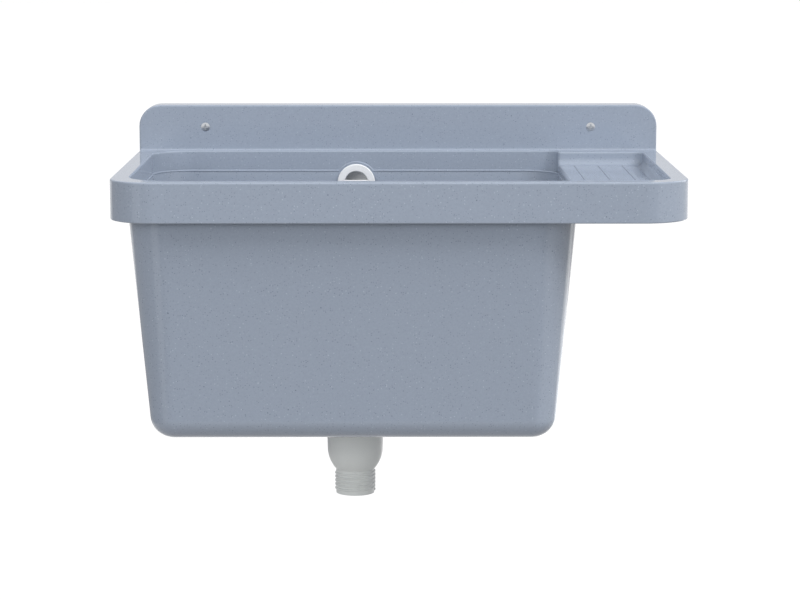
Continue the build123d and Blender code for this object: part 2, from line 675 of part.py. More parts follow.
# The bell-shaped cup under the bowl, with its threaded tail, hub and overflow spigot
with BuildPart() as drain_cup:
    with BuildSketch(upright(bowl_x, drain_y)):
        with BuildLine():
            Polyline(
                (0, tail_end_z),
                (0, cup_top_z),
                (cup_flange_radius, cup_top_z),
                (cup_flange_radius, cup_top_z - cup_flange_thickness),
                (bell_top_radius, cup_top_z - cup_flange_thickness),
                (bell_low_radius, bell_straight_z),
            )
            TangentArc(
                (bell_low_radius, bell_straight_z), (tail_root_radius, neck_z),
                tangent=(bell_low_radius - bell_top_radius, cup_flange_thickness - bell_straight),
            )
            Polyline((tail_root_radius, neck_z), (tail_root_radius, tail_end_z), (0, tail_end_z))
        make_face()
    revolve(axis=Axis((bowl_x, drain_y, 0), (0, 0, 1)))
    with BuildSketch(along_y(bowl_x, drain_y, cup_spigot_z)):
        Circle(spigot_radius)
    extrude(amount=cup_spigot_end_y - drain_y)
    with BuildLine() as thread_path:
        Helix(
            thread_pitch, thread_pitch * thread_turns, tail_root_radius,
            center=(bowl_x, drain_y, tail_end_z + thread_start),
        )
    with BuildSketch(Plane(origin=thread_path.line @ 0, x_dir=(1, 0, 0), z_dir=thread_path.line % 0)):
        with BuildLine():
            Polyline(
                (-thread_height / 2, -thread_foot / 2),
                (0, -thread_foot / 2),
                (thread_height, -thread_crest / 2),
                (thread_height, thread_crest / 2),
                (0, thread_foot / 2),
                (-thread_height / 2, thread_foot / 2),
                close=True,
            )
        make_face()
    sweep(path=thread_path.wires()[0], is_frenet=True)
    with BuildSketch(upright(bowl_x, drain_y)):
        with BuildLine():
            Polyline(
                (0, tail_end_z),
                (0, cup_top_z),
                (bell_top_radius - cup_wall, cup_top_z),
                (bell_low_radius - cup_wall, bell_straight_z),
            )
            TangentArc(
                (bell_low_radius - cup_wall, bell_straight_z), (tail_bore, neck_z - cup_wall / 2),
                tangent=(bell_low_radius - bell_top_radius, -bell_straight),
            )
            Polyline((tail_bore, neck_z - cup_wall / 2), (tail_bore, tail_end_z), (0, tail_end_z))
        make_face()
    revolve(axis=Axis((bowl_x, drain_y, 0), (0, 0, 1)), mode=Mode.SUBTRACT)
    with BuildSketch(along_y(bowl_x, drain_y, cup_spigot_z)):
        Circle(spigot_bore)
    extrude(amount=cup_spigot_end_y - drain_y, mode=Mode.SUBTRACT)
    with BuildSketch(Plane.XY.offset(hub_top_z)):
        with Locations((bowl_x, drain_y)):
            Circle(hub_radius)
    extrude(amount=-hub_height)
    for angle in hub_web_angles:
        with BuildSketch(Plane.XY.offset(hub_top_z)):
            with Locations(Location((bowl_x, drain_y, 0), (0, 0, angle))):
                Rectangle(bell_low_radius - cup_wall / 2, hub_web, align=(Align.MIN, Align.CENTER))
        extrude(amount=-hub_web_height)
    with BuildSketch(Plane.XY.offset(hub_top_z)):
        with Locations((bowl_x, drain_y)):
            Circle(drain_screw_radius + drain_screw_clearance)
    extrude(amount=-hub_height, mode=Mode.SUBTRACT)
    with BuildSketch(Plane.XY.offset(hub_foot_z)):
        with Locations((bowl_x, drain_y)):
            RegularPolygon(nut_flats / 2 + nut_clearance, 6, major_radius=False)
    extrude(amount=nut_height + nut_recess, mode=Mode.SUBTRACT)
drain_cup.part.label = "drain_cup"
export_step(drain_cup.part, "parts/drain_cup.step")


def ring(z, outer, inner, height):
    """A flat ring on the drain's axis that stands on the height z."""
    with BuildPart() as washer:
        with BuildSketch(Plane.XY.offset(z)):
            with Locations((bowl_x, drain_y)):
                Circle(outer)
                Circle(inner, mode=Mode.SUBTRACT)
        extrude(amount=height)
    return washer.part


top_seal_part = ring(
    floor_z - drain_recess_depth, flange_radius, top_seal_inner_radius, top_seal_thickness
)
top_seal_part.label = "drain_top_seal"
export_step(top_seal_part, "parts/drain_top_seal.step")
lower_seal_part = ring(cup_top_z, cup_flange_radius, lower_seal_inner_radius, lower_seal_thickness)
lower_seal_part.label = "drain_lower_seal"
export_step(lower_seal_part, "parts/drain_lower_seal.step")

# The stainless dish that lines the drain hole, with a perforated bottom
with BuildPart() as drain_flange:
    with BuildSketch(Plane.XY.offset(lip_top_z)):
        with Locations((bowl_x, drain_y)):
            Circle(flange_radius)
    extrude(amount=-flange_sheet)
    with BuildSketch(Plane.XY.offset(lip_top_z)):
        with Locations((bowl_x, drain_y)):
            Circle(dish_radius)
    extrude(amount=-(dish_depth + flange_sheet))
    with BuildSketch(Plane.XY.offset(lip_top_z)):
        with Locations((bowl_x, drain_y)):
            Circle(dish_radius - flange_sheet)
    extrude(amount=-dish_depth, mode=Mode.SUBTRACT)
    with BuildSketch(Plane.XY.offset(dish_floor_z)):
        with Locations((bowl_x, drain_y)):
            Circle(drain_screw_radius + drain_screw_clearance)
            with PolarLocations(strainer_hole_circle, strainer_hole_count):
                Circle(strainer_hole_radius)
    extrude(amount=-flange_sheet, mode=Mode.SUBTRACT)
drain_flange.part.label = "drain_flange"
export_step(drain_flange.part, "parts/drain_flange.step")

nut_top_z = hub_foot_z + nut_height + nut_recess
with BuildPart() as drain_screw:
    with BuildSketch(Plane.XY.offset(dish_floor_z)):
        with Locations((bowl_x, drain_y)):
            Circle(drain_screw_head_radius)
    extrude(amount=drain_screw_head_height)
    fillet(drain_screw.faces().sort_by(Axis.Z)[-1].edges(), drain_screw_head_height / 3)
    with BuildSketch(Plane.XY.offset(dish_floor_z)):
        with Locations((bowl_x, drain_y)):
            Circle(drain_screw_radius)
    extrude(amount=hub_foot_z - dish_floor_z)
    with Locations((bowl_x, drain_y, dish_floor_z + drain_screw_head_height)):
        Box(
            2 * drain_screw_head_radius, cross_width, drain_screw_head_height / 2,
            align=(Align.CENTER, Align.CENTER, Align.MAX), mode=Mode.SUBTRACT,
        )
drain_screw.part.label = "drain_screw"
export_step(drain_screw.part, "parts/drain_screw.step")

with BuildPart() as drain_nut:
    with BuildSketch(Plane.XY.offset(nut_top_z)):
        with Locations((bowl_x, drain_y)):
            RegularPolygon(nut_flats / 2, 6, major_radius=False)
            Circle(drain_screw_radius + nut_clearance, mode=Mode.SUBTRACT)
    extrude(amount=-nut_height)
drain_nut.part.label = "drain_nut"
export_step(drain_nut.part, "parts/drain_nut.step")

# The lift-out strainer: rubber cup, perforated basket, post, knob and clip
seal_foot_z = dish_floor_z + seal_seat_gap
seal_disc_z = seal_foot_z + seal_lip_height
basket_floor_z = seal_disc_z + seal_disc_thickness
basket_top_z = lip_top_z - basket_top_gap
basket_top_radius = dish_radius - flange_sheet - basket_clearance
basket_foot_radius = basket_top_radius - basket_taper
stem_hole = stem_radius + stem_clearance

with BuildPart() as stopper_seal:
    with BuildSketch(upright(bowl_x, drain_y)):
        with BuildLine():
            Polyline(
                (stem_hole, basket_floor_z),
                (seal_radius, basket_floor_z),
                (seal_radius, seal_foot_z),
                (seal_radius - seal_lip_width, seal_foot_z),
                (seal_radius - seal_lip_width, seal_disc_z),
                (stem_hole, seal_disc_z),
                close=True,
            )
        make_face()
    revolve(axis=Axis((bowl_x, drain_y, 0), (0, 0, 1)))
    fillet(stopper_seal.faces().sort_by(Axis.Z)[-1].outer_wire().edges(), seal_disc_thickness / 3)
stopper_seal.part.label = "stopper_seal"
export_step(stopper_seal.part, "parts/stopper_seal.step")

with BuildPart() as strainer_basket:
    with BuildSketch(upright(bowl_x, drain_y)):
        with BuildLine():
            Polyline(
                (stem_hole, basket_floor_z),
                (basket_foot_radius, basket_floor_z),
                (basket_top_radius, basket_top_z),
                (basket_top_radius - basket_sheet, basket_top_z),
                (basket_foot_radius - basket_sheet, basket_floor_z + basket_sheet),
                (stem_hole, basket_floor_z + basket_sheet),
                close=True,
            )
        make_face()
    revolve(axis=Axis((bowl_x, drain_y, 0), (0, 0, 1)))
    with BuildSketch(Plane.XY.offset(basket_floor_z)):
        with Locations((bowl_x, drain_y)):
            with PolarLocations(basket_inner_ring_radius, basket_inner_hole_count):
                Circle(basket_hole_radius)
            with PolarLocations(basket_outer_ring_radius, basket_outer_hole_count):
                Circle(basket_hole_radius)
    extrude(amount=basket_sheet, mode=Mode.SUBTRACT)
    side_z = (basket_floor_z + basket_top_z) / 2
    for i in range(basket_side_count):
        turn = 2 * pi * i / basket_side_count
        outward = (cos(turn), sin(turn), 0)
        with BuildSketch(Plane(origin=(bowl_x, drain_y, side_z), z_dir=outward)):
            Circle(basket_hole_radius)
        extrude(amount=dish_radius, mode=Mode.SUBTRACT)
strainer_basket.part.label = "strainer_basket"
export_step(strainer_basket.part, "parts/strainer_basket.step")

stem_top_z = basket_floor_z + basket_sheet + stem_height
stem_clip_z = seal_disc_z - stem_clip_thickness
with BuildPart() as basket_stem:
    with BuildSketch(Plane.XY.offset(stem_clip_z - stem_end)):
        with Locations((bowl_x, drain_y)):
            Circle(stem_radius)
    extrude(amount=stem_top_z - stem_clip_z + stem_end)
    with BuildSketch(Plane.XY.offset(basket_floor_z + basket_sheet)):
        with Locations((bowl_x, drain_y)):
            Circle(stem_collar_radius)
    extrude(amount=stem_collar_height)
basket_stem.part.label = "basket_stem"
export_step(basket_stem.part, "parts/basket_stem.step")

stem_clip_part = ring(stem_clip_z, stem_clip_radius, stem_hole, stem_clip_thickness)
stem_clip_part.label = "stem_clip"
export_step(stem_clip_part, "parts/stem_clip.step")

# The knob, waisted below a rounded head
knob_foot_z = stem_top_z - knob_grip
knob_top_z = knob_foot_z + knob_height
with BuildPart() as basket_knob:
    with BuildSketch(Plane.XY.offset(knob_foot_z)):
        with Locations((bowl_x, drain_y)):
            Circle(knob_waist_radius)
    extrude(amount=knob_height)
    with BuildSketch(Plane.XY.offset(knob_top_z)):
        with Locations((bowl_x, drain_y)):
            Circle(knob_radius)
    extrude(amount=-knob_head_height)
    fillet(basket_knob.faces().sort_by(Axis.Z)[-1].edges(), knob_top_edge_radius)
    knob_brim = basket_knob.edges().filter_by(GeomType.CIRCLE).filter_by(
        lambda e: abs(e.center().Z - knob_top_z + knob_head_height) < pick_margin
        and e.radius > knob_waist_radius
    )
    fillet(knob_brim, knob_brim_edge_radius)
    with BuildSketch(Plane.XY.offset(knob_foot_z)):
        with Locations((bowl_x, drain_y)):
            Circle(stem_hole)
    extrude(amount=knob_grip + stem_clearance, mode=Mode.SUBTRACT)
basket_knob.part.label = "basket_knob"
export_step(basket_knob.part, "parts/basket_knob.step")
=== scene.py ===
# %% [markdown]
# A wall-hung utility sink, dressed around its imported CAD model. The CAD gives every piece its place and
# size in metres: the wall is the plane y = 0, the front faces -Y and the flat top of the rim is z = 0.
# The first cell loads that model with its record and keeps its pieces by name.

# %% Load the frame
import json
import math

import bpy
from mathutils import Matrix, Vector


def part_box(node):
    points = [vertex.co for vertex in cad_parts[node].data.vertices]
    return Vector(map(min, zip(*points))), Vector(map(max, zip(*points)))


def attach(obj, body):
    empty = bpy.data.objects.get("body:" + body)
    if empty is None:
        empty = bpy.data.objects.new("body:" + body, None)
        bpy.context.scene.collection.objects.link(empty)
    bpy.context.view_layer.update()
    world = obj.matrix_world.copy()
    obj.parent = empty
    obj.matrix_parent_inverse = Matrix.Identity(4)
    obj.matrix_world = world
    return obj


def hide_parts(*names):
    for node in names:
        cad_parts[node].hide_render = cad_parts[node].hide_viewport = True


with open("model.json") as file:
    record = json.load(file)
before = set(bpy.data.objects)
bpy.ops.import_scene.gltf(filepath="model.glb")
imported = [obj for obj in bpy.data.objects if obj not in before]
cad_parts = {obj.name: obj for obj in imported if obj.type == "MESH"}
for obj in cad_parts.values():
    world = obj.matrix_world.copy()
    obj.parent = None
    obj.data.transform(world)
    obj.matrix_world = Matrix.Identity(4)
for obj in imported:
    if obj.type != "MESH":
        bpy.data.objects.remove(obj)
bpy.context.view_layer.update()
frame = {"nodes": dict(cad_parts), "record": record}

# %% [markdown]
# The photograph was taken from the front, a little above the rim, with a long lens: the bowl's sides
# hardly converge. A camera could be placed by eye, but a few degrees of error change every outline. So its
# place was found by fitting the rim, the screws, the bowl's foot and the drain's end to their pixels. The
# image is 800 by 600, so the sensor's 36 mm lie along its 800 pixels, and no shift is needed.

# %% Camera
SENSOR_WIDTH, LENS, FARTHEST = 36.0, 112.2, 100.0
CAMERA_PLACE = (-0.00981, -2.96623, 0.2725)
LOOKS_DOWN, TURNS_RIGHT = math.radians(8.747), math.radians(0.2356)
camera_data = bpy.data.cameras.new("camera")
camera_data.sensor_width = SENSOR_WIDTH
camera_data.lens = LENS
camera_data.clip_end = FARTHEST
camera = bpy.data.objects.new("camera", camera_data)
camera.location = CAMERA_PLACE
camera.rotation_euler = (math.radians(90) - LOOKS_DOWN, 0, -TURNS_RIGHT)
bpy.context.scene.collection.objects.link(camera)
bpy.context.scene.camera = camera
bpy.context.scene.view_settings.view_transform = "Standard"
print("camera at", [round(v, 3) for v in camera.location], "lens", camera_data.lens)

# %% [markdown]
# Colours are written as sRGB hex codes, as a colour picker shows them. Shaders want linear light, so one
# function converts them. A second small function adds any node with its settings and links, which keeps
# each finish readable from top to bottom.

# %% Helpers for finishes
MM = 0.001


def linear(code):
    """The linear RGBA of an sRGB hex code."""
    parts = [int(code[i:i + 2], 16) / 255 for i in (0, 2, 4)]
    return [v / 12.92 if v <= 0.04045 else ((v + 0.055) / 1.055) ** 2.4 for v in parts] + [1.0]


def add_node(tree, kind, settings=None, inputs=None):
    """Adds one node: settings are its own choices, inputs are values or the sockets that feed it."""
    made = tree.nodes.new(kind)
    for name, value in (settings or {}).items():
        setattr(made, name, value)
    for name, value in (inputs or {}).items():
        if isinstance(value, bpy.types.NodeSocket):
            tree.links.new(value, made.inputs[name])
        else:
            made.inputs[name].default_value = value
    return made


def start_finish(name):
    """A new material with its node tree, its shader and its object coordinates."""
    material = bpy.data.materials.new(name)
    material.use_nodes = True
    tree = material.node_tree
    shader = tree.nodes["Principled BSDF"]
    place = tree.nodes.new("ShaderNodeTexCoord").outputs["Object"]
    return material, tree, shader, place


finishes = {}
print("a mid grey of 808080 is", round(linear("808080")[0], 3), "in linear light")

# %% [markdown]
# The basin is cast from resin filled with crushed mineral and comes out of a polished mould. Close up it
# is a blue-grey ground with small dark and light grains under a glossy skin, and the low contrast makes
# it look even from a step away. One noise pattern could stand for all of that, but noise has no separate
# grains. So each kind of grain is one Voronoi pattern: the cell size sets how far apart grains lie, a
# random number of each cell picks the few cells that hold one, and the distance from the cell's point
# draws it. The finest real grains are too small for the render, so the first two kinds are drawn as coarse
# as they need to show. The skin is nearly smooth, with a very faint orange peel.

# %% Cast mineral resin, polished mould
MOTTLE_SIZE, CLOUD_SIZE, PEEL_SIZE, PEEL_HEIGHT = 2.2 * MM, 45 * MM, 6 * MM, 0.1 * MM
GRAIN_EDGE, SMALLEST_GRAIN = 0.25, 0.5
# Each kind: cell in mm, number above which a cell holds a grain, largest radius in mm, colour
grain_kinds = (
    (2.4, 0.58, 0.60, "7B8593"),
    (3.1, 0.64, 0.60, "AFB9C7"),
    (9.0, 0.78, 0.75, "6E7886"),
    (14.0, 0.86, 0.80, "B4BDC9"),
)
resin, tree, shader, place = start_finish("cast_mineral_resin_glossy")
mottle = add_node(tree, "ShaderNodeTexNoise", inputs={
    "Vector": place, "Scale": 1 / MOTTLE_SIZE, "Detail": 3.0, "Roughness": 0.6})
cloud = add_node(tree, "ShaderNodeTexNoise", inputs={
    "Vector": place, "Scale": 1 / CLOUD_SIZE, "Detail": 2.0, "Roughness": 0.5})
ground_mix = add_node(tree, "ShaderNodeMix", {"data_type": "RGBA"}, {
    "Factor": mottle.outputs["Fac"], 6: linear("909AA9"), 7: linear("9EA8B8")})
colour = ground_mix.outputs[2]
for cell, chosen, radius, code in grain_kinds:
    cells = add_node(tree, "ShaderNodeTexVoronoi", inputs={
        "Vector": place, "Scale": 1 / (cell * MM), "Randomness": 1.0})
    split = add_node(tree, "ShaderNodeSeparateColor", inputs={"Color": cells.outputs["Color"]})
    reach = add_node(tree, "ShaderNodeMapRange", inputs={
        "Value": split.outputs["Green"], "To Min": SMALLEST_GRAIN * radius / cell, "To Max": radius / cell})
    inside = add_node(tree, "ShaderNodeMath", {"operation": "SUBTRACT"}, {
        0: reach.outputs["Result"], 1: cells.outputs["Distance"]})
    soft = add_node(tree, "ShaderNodeMapRange", {"interpolation_type": "SMOOTHSTEP"}, {
        "Value": inside.outputs["Value"], "From Min": -GRAIN_EDGE / cell, "From Max": GRAIN_EDGE / cell})
    picked = add_node(tree, "ShaderNodeMath", {"operation": "GREATER_THAN"}, {
        0: split.outputs["Red"], 1: chosen})
    mask = add_node(tree, "ShaderNodeMath", {"operation": "MULTIPLY"}, {
        0: soft.outputs["Result"], 1: picked.outputs["Value"]})
    grains = add_node(tree, "ShaderNodeMix", {"data_type": "RGBA"}, {
        "Factor": mask.outputs["Value"], 6: colour, 7: linear(code)})
    colour = grains.outputs[2]
gloss = add_node(tree, "ShaderNodeMapRange", inputs={
    "Value": cloud.outputs["Fac"], "From Min": 0.3, "From Max": 0.7, "To Min": 0.07, "To Max": 0.12})
peel = add_node(tree, "ShaderNodeTexNoise", inputs={
    "Vector": place, "Scale": 1 / PEEL_SIZE, "Detail": 1.0})
skin = add_node(tree, "ShaderNodeBump", inputs={
    "Strength": 0.02, "Distance": PEEL_HEIGHT, "Height": peel.outputs["Fac"]})
tree.links.new(colour, shader.inputs["Base Color"])
tree.links.new(gloss.outputs["Result"], shader.inputs["Roughness"])
tree.links.new(skin.outputs["Normal"], shader.inputs["Normal"])
shader.inputs["IOR"].default_value = 1.47
finishes["resin"] = resin
print("finish:", resin.name, "with", len(grain_kinds), "kinds of grain")

# %% [markdown]
# The other finishes are plainer: plated and stainless steel, brass, moulded plastics and rubber. Each
# still gets the small unevenness that its making leaves: fine scratches on metal, a faint grain from the
# mould on plastic, a dull bloom on rubber. Each could have nodes of its own, but they differ only in
# numbers, so one table holds these and one loop builds the nodes. Real scratches are finer than a tenth of
# a millimetre, and the metals' grain is drawn as coarse as it needs to show.

# %% Metals, plastics and rubber
RELIEF_HEIGHT = 0.1 * MM
# Each finish: name, light and dark colour, metallic, lowest and highest roughness, grain in mm, relief
finish_table = {
    # A bright, slightly milky grey
    "screw_steel": ("zinc_plated_steel", "D8DADD", "C6CACE", 1.0, 0.28, 0.40, 0.8, 0.02),
    # A clean white with soft highlights
    "white_plastic": ("white_abs_moulded", "F2F3F4", "EAECEE", 0.0, 0.22, 0.30, 1.6, 0.02),
    # Pale, waxy and a little dull
    "grey_plastic": ("grey_polypropylene_moulded", "DEE0DE", "D4D8D7", 0.0, 0.34, 0.46, 1.2, 0.05),
    # Pale and duller still, with broad highlights on each ring
    "hose_plastic": ("polyethylene_corrugated", "D9DBDC", "CDD0D2", 0.0, 0.38, 0.50, 1.5, 0.04),
    # Nearly black, and matt
    "rubber": ("nitrile_rubber_pressed", "2B2C2E", "242527", 0.0, 0.60, 0.78, 0.7, 0.10),
    # Bright, with fairly sharp reflections
    "stainless": ("stainless_steel_pressed", "C4C5C6", "AFB1B3", 1.0, 0.16, 0.28, 0.6, 0.02),
    # The same metal with the softer shine of rolled strip
    "clip_steel": ("stainless_strip_rolled", "BDBFC1", "A9ABAE", 1.0, 0.24, 0.36, 0.5, 0.03),
    # Warm yellow, with the fine marks of the lathe
    "brass": ("brass_turned", "C9A65A", "B08C45", 1.0, 0.24, 0.34, 0.5, 0.03),
    # Dark grey with soft highlights
    "knob_plastic": ("dark_abs_moulded", "3A3D41", "333639", 0.0, 0.30, 0.42, 1.0, 0.04),
}
for slot, (name, light, dark, metal, smooth, rough, grain, bump) in finish_table.items():
    material, tree, shader, place = start_finish(name)
    grit = add_node(tree, "ShaderNodeTexNoise", inputs={
        "Vector": place, "Scale": 1 / (grain * MM), "Detail": 4.0, "Roughness": 0.65})
    shade = add_node(tree, "ShaderNodeMix", {"data_type": "RGBA"}, {
        "Factor": grit.outputs["Fac"], 6: linear(dark), 7: linear(light)})
    polish = add_node(tree, "ShaderNodeMapRange", inputs={
        "Value": grit.outputs["Fac"], "From Min": 0.3, "From Max": 0.7, "To Min": smooth, "To Max": rough})
    relief = add_node(tree, "ShaderNodeBump", inputs={
        "Strength": bump, "Distance": RELIEF_HEIGHT, "Height": grit.outputs["Fac"]})
    tree.links.new(shade.outputs[2], shader.inputs["Base Color"])
    tree.links.new(polish.outputs["Result"], shader.inputs["Roughness"])
    tree.links.new(relief.outputs["Normal"], shader.inputs["Normal"])
    shader.inputs["Metallic"].default_value = metal
    finishes[slot] = material
    print("finish:", name)

# %% [markdown]
# Each CAD node carries the material slot that the record gives it. The node's shape stays as it is and
# only its slot is filled with the finish made above.

# %% Dress the CAD nodes
slot_of = {row["node"]: row["material_slot"] for row in frame["record"]["subparts"]}
for name, part in frame["nodes"].items():
    part.data.materials.clear()
    part.data.materials.append(finishes[slot_of[name]])
    print(name, "wears", finishes[slot_of[name]].name)

# %% [markdown]
# Every piece is finished in the same way: smooth shading that stops at sharp edges, weighted normals that
# keep the big faces flat while the curved ones reflect cleanly, the finish of its node, and the body that
# carries it. That could be done piece by piece, but one function can't forget a step.

# %% Helpers that finish a piece
SMOOTH_ANGLE = math.radians(32)
body_of = {
    node: body for body, nodes in frame["record"]["behaviour"]["bodies"].items() for node in nodes}


def pick(piece):
    """Makes a piece the active one and the only one that is selected."""
    bpy.ops.object.select_all(action="DESELECT")
    bpy.context.view_layer.objects.active = piece
    piece.select_set(True)


def settle(piece, node, stands_for=True):
    """Smooth shading, finish, body and slot of a piece that belongs to a CAD node."""
    pick(piece)
    bpy.ops.object.shade_smooth_by_angle(angle=SMOOTH_ANGLE)
    evened = piece.modifiers.new("evened_normals", "WEIGHTED_NORMAL")
    evened.mode = "FACE_AREA_WITH_ANGLE"
    evened.weight = 100
    evened.keep_sharp = True
    bpy.ops.object.modifier_apply(modifier=evened.name)
    piece.data.materials.clear()
    piece.data.materials.append(finishes[slot_of[node]])
    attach(piece, body_of[node])
    if stands_for:
        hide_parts(node)
    print(piece.name, "has", len(piece.data.polygons), "faces")


print("bodies:", sorted(set(body_of.values())))

# %% [markdown]
# A CAD mesh is loose triangles, each shaded flat, and its edges are perfectly sharp. Real mouldings and
# pressings catch a thin line of light along every edge. So most nodes get a merged copy that stands for
# them: flat triangles are joined, and the edges get a small bevel. The normals that came with the triangles
# are cleared first, because with them in place the sharp edges aren't found. Modelling these pieces anew
# would only repeat what the CAD already has right, and the basin has its roundings from there too.

# %% Smooth copies of turned and moulded pieces
MERGE_GAP = 0.002 * MM
FLAT_ANGLE = math.radians(0.05)


def ease_edges(piece, width, corner):
    """Bevels, by millimetres, the edges where an active piece turns by more degrees than a corner."""
    eased = piece.modifiers.new("eased_edges", "BEVEL")
    eased.width = width * MM
    eased.segments = 2
    eased.limit_method = "ANGLE"
    eased.angle_limit = math.radians(corner)
    bpy.ops.object.modifier_apply(modifier=eased.name)


def smooth_copy(node, name, bevel=0.0):
    """A merged copy of a CAD node, with edges bevelled by some millimetres, that stands for it."""
    piece = bpy.data.objects.new(name, frame["nodes"][node].data.copy())
    bpy.context.scene.collection.objects.link(piece)
    pick(piece)
    bpy.ops.object.mode_set(mode="EDIT")
    bpy.ops.mesh.select_all(action="SELECT")
    bpy.ops.mesh.remove_doubles(threshold=MERGE_GAP)
    bpy.ops.mesh.dissolve_limited(angle_limit=FLAT_ANGLE)
    bpy.ops.object.mode_set(mode="OBJECT")
    bpy.ops.mesh.customdata_custom_splitnormals_clear()
    if bevel:
        ease_edges(piece, bevel, 40)
    settle(piece, node)


smooth_copy("basin", "basin_moulding")
for node, bevel in (
    ("wall_screws", 0.15), ("overflow_rosette", 0.0), ("overflow_seal", 0.4), ("overflow_elbow", 0.3),
    ("clip_screws", 0.2), ("drain_cup", 0.0), ("drain_top_seal", 0.3), ("drain_lower_seal", 0.5),
    ("drain_flange", 0.15), ("drain_screw", 0.2), ("drain_nut", 0.3), ("stopper_seal", 0.3),
    ("strainer_basket", 0.12), ("basket_stem", 0.2), ("stem_clip", 0.15), ("basket_knob", 0.0),
):
    smooth_copy(node, node + "_finished", bevel)

# %% [markdown]
# The overflow hose is a corrugated tube: a plain cuff at each end that slips over a spigot, and rings
# between them that let it bend. Rings could be set one by one along the bent route, but a straight hose is
# easier to draw and keeps them even. One ring is turned: half of its section is drawn as a chain of points,
# each extruded from the last, and spun round the Z axis. An Array modifier repeats it and merges the seams.

# %% One ring of the hose, repeated
HOSE_X, HOSE_Y, HOSE_TOP = -49.25, -17.5, -62.0
HOSE_DROP, HOSE_BEND, HOSE_RUN, HOSE_CUFF = 158.5, 90.0, 48.5, 23.0
ROOT, CREST, CUFF, BORE = 9.8, 11.2, 10.2, 8.6
RING_COUNT, HOSE_FACETS = 76, 36
# The wave of one ring: share of the pitch, and share of the rise from root to crest
RING_WAVE = (
    (0.0, 0.0), (0.12, 0.06), (0.20, 0.45), (0.28, 0.86), (0.38, 1.0),
    (0.52, 1.0), (0.62, 0.86), (0.70, 0.45), (0.78, 0.06), (1.0, 0.0))


def draw_chain(name, points):
    """Starts a piece as a chain of (radius, height) points in millimetres, and stays in edit mode."""
    bpy.ops.object.select_all(action="DESELECT")
    bpy.ops.mesh.primitive_plane_add(size=MM)
    piece = bpy.context.object
    piece.name = name
    bpy.ops.object.mode_set(mode="EDIT")
    bpy.ops.mesh.select_mode(type="VERT")
    bpy.ops.mesh.select_all(action="SELECT")
    bpy.ops.mesh.merge(type="CENTER")
    bpy.ops.transform.translate(value=(points[0][0] * MM, 0, points[0][1] * MM))
    for last, point in zip(points, points[1:]):
        step = ((point[0] - last[0]) * MM, 0, (point[1] - last[1]) * MM)
        bpy.ops.mesh.extrude_vertices_move(TRANSFORM_OT_translate={"value": step})
    bpy.ops.mesh.select_all(action="SELECT")
    return piece


def tidy_mesh():
    """Merges doubles, turns the faces outwards and leaves edit mode."""
    bpy.ops.mesh.select_all(action="SELECT")
    bpy.ops.mesh.remove_doubles(threshold=MERGE_GAP)
    bpy.ops.mesh.normals_make_consistent(inside=False)
    bpy.ops.object.mode_set(mode="OBJECT")


def turned(name, section, facets):
    """A piece that is turned from a chain of (radius, height) points about the Z axis."""
    piece = draw_chain(name, section)
    bpy.ops.mesh.spin(steps=facets, angle=2 * math.pi, center=(0, 0, 0), axis=(0, 0, 1))
    tidy_mesh()
    return piece


hose_length = HOSE_DROP + HOSE_BEND * math.pi / 2 + HOSE_RUN
ring_pitch = (hose_length - 2 * HOSE_CUFF) / RING_COUNT
ring_section = [(ROOT + (CREST - ROOT) * rise, share * ring_pitch) for share, rise in RING_WAVE]
hose = turned("overflow_hose_ribbed", ring_section, HOSE_FACETS)
rings = hose.modifiers.new("rings", "ARRAY")
rings.count = RING_COUNT
rings.use_relative_offset = False
rings.use_constant_offset = True
rings.constant_offset_displace = (0, 0, ring_pitch * MM)
rings.use_merge_vertices = True
rings.merge_threshold = 0.01 * MM
bpy.ops.object.modifier_apply(modifier=rings.name)
print("hose length", round(hose_length, 1), "mm, with", RING_COUNT, "rings")

# %% [markdown]
# The cuffs grow from the two open ends: the end's loop is extruded and scaled step by step, over the rim
# and a little way into the bore. The two loops left open inside are bridged, which makes the bore, and its
# cross cuts let it bend with the rest. A thickness from Solidify would be quicker, but its inside would
# follow every ring, and the bore of this hose is plain.

# %% Cuffs and bore of the hose
CUFF_START, RIM_EASE, BORE_EASE, BORE_CUTS = 1.2, 0.4, 0.3, 70


def grow_end(height, steps):
    """Extrudes the open end of the hose at a height through (radius, height) steps in millimetres."""
    bpy.ops.object.mode_set(mode="EDIT")
    bpy.ops.mesh.select_mode(type="VERT")
    bpy.ops.mesh.select_all(action="DESELECT")
    bpy.ops.object.mode_set(mode="OBJECT")
    for vertex in hose.data.vertices:
        vertex.select = abs(vertex.co.z - height * MM) < 0.05 * MM
    bpy.ops.object.mode_set(mode="EDIT")
    radius = ROOT
    for new_radius, new_height in steps:
        bpy.ops.mesh.extrude_region_move(
            TRANSFORM_OT_translate={"value": (0, 0, (new_height - height) * MM)})
        share = new_radius / radius
        bpy.ops.transform.resize(value=(share, share, 1), center_override=(0, 0, new_height * MM))
        radius, height = new_radius, new_height
    bpy.ops.object.mode_set(mode="OBJECT")


def put(piece, place, turn=(0, 0, 0)):
    """Turns a piece by degrees and moves it by millimetres, both inside its mesh."""
    pick(piece)
    piece.rotation_euler = [math.radians(v) for v in turn]
    piece.location = [v * MM for v in place]
    bpy.ops.object.transform_apply(location=True, rotation=True, scale=True)


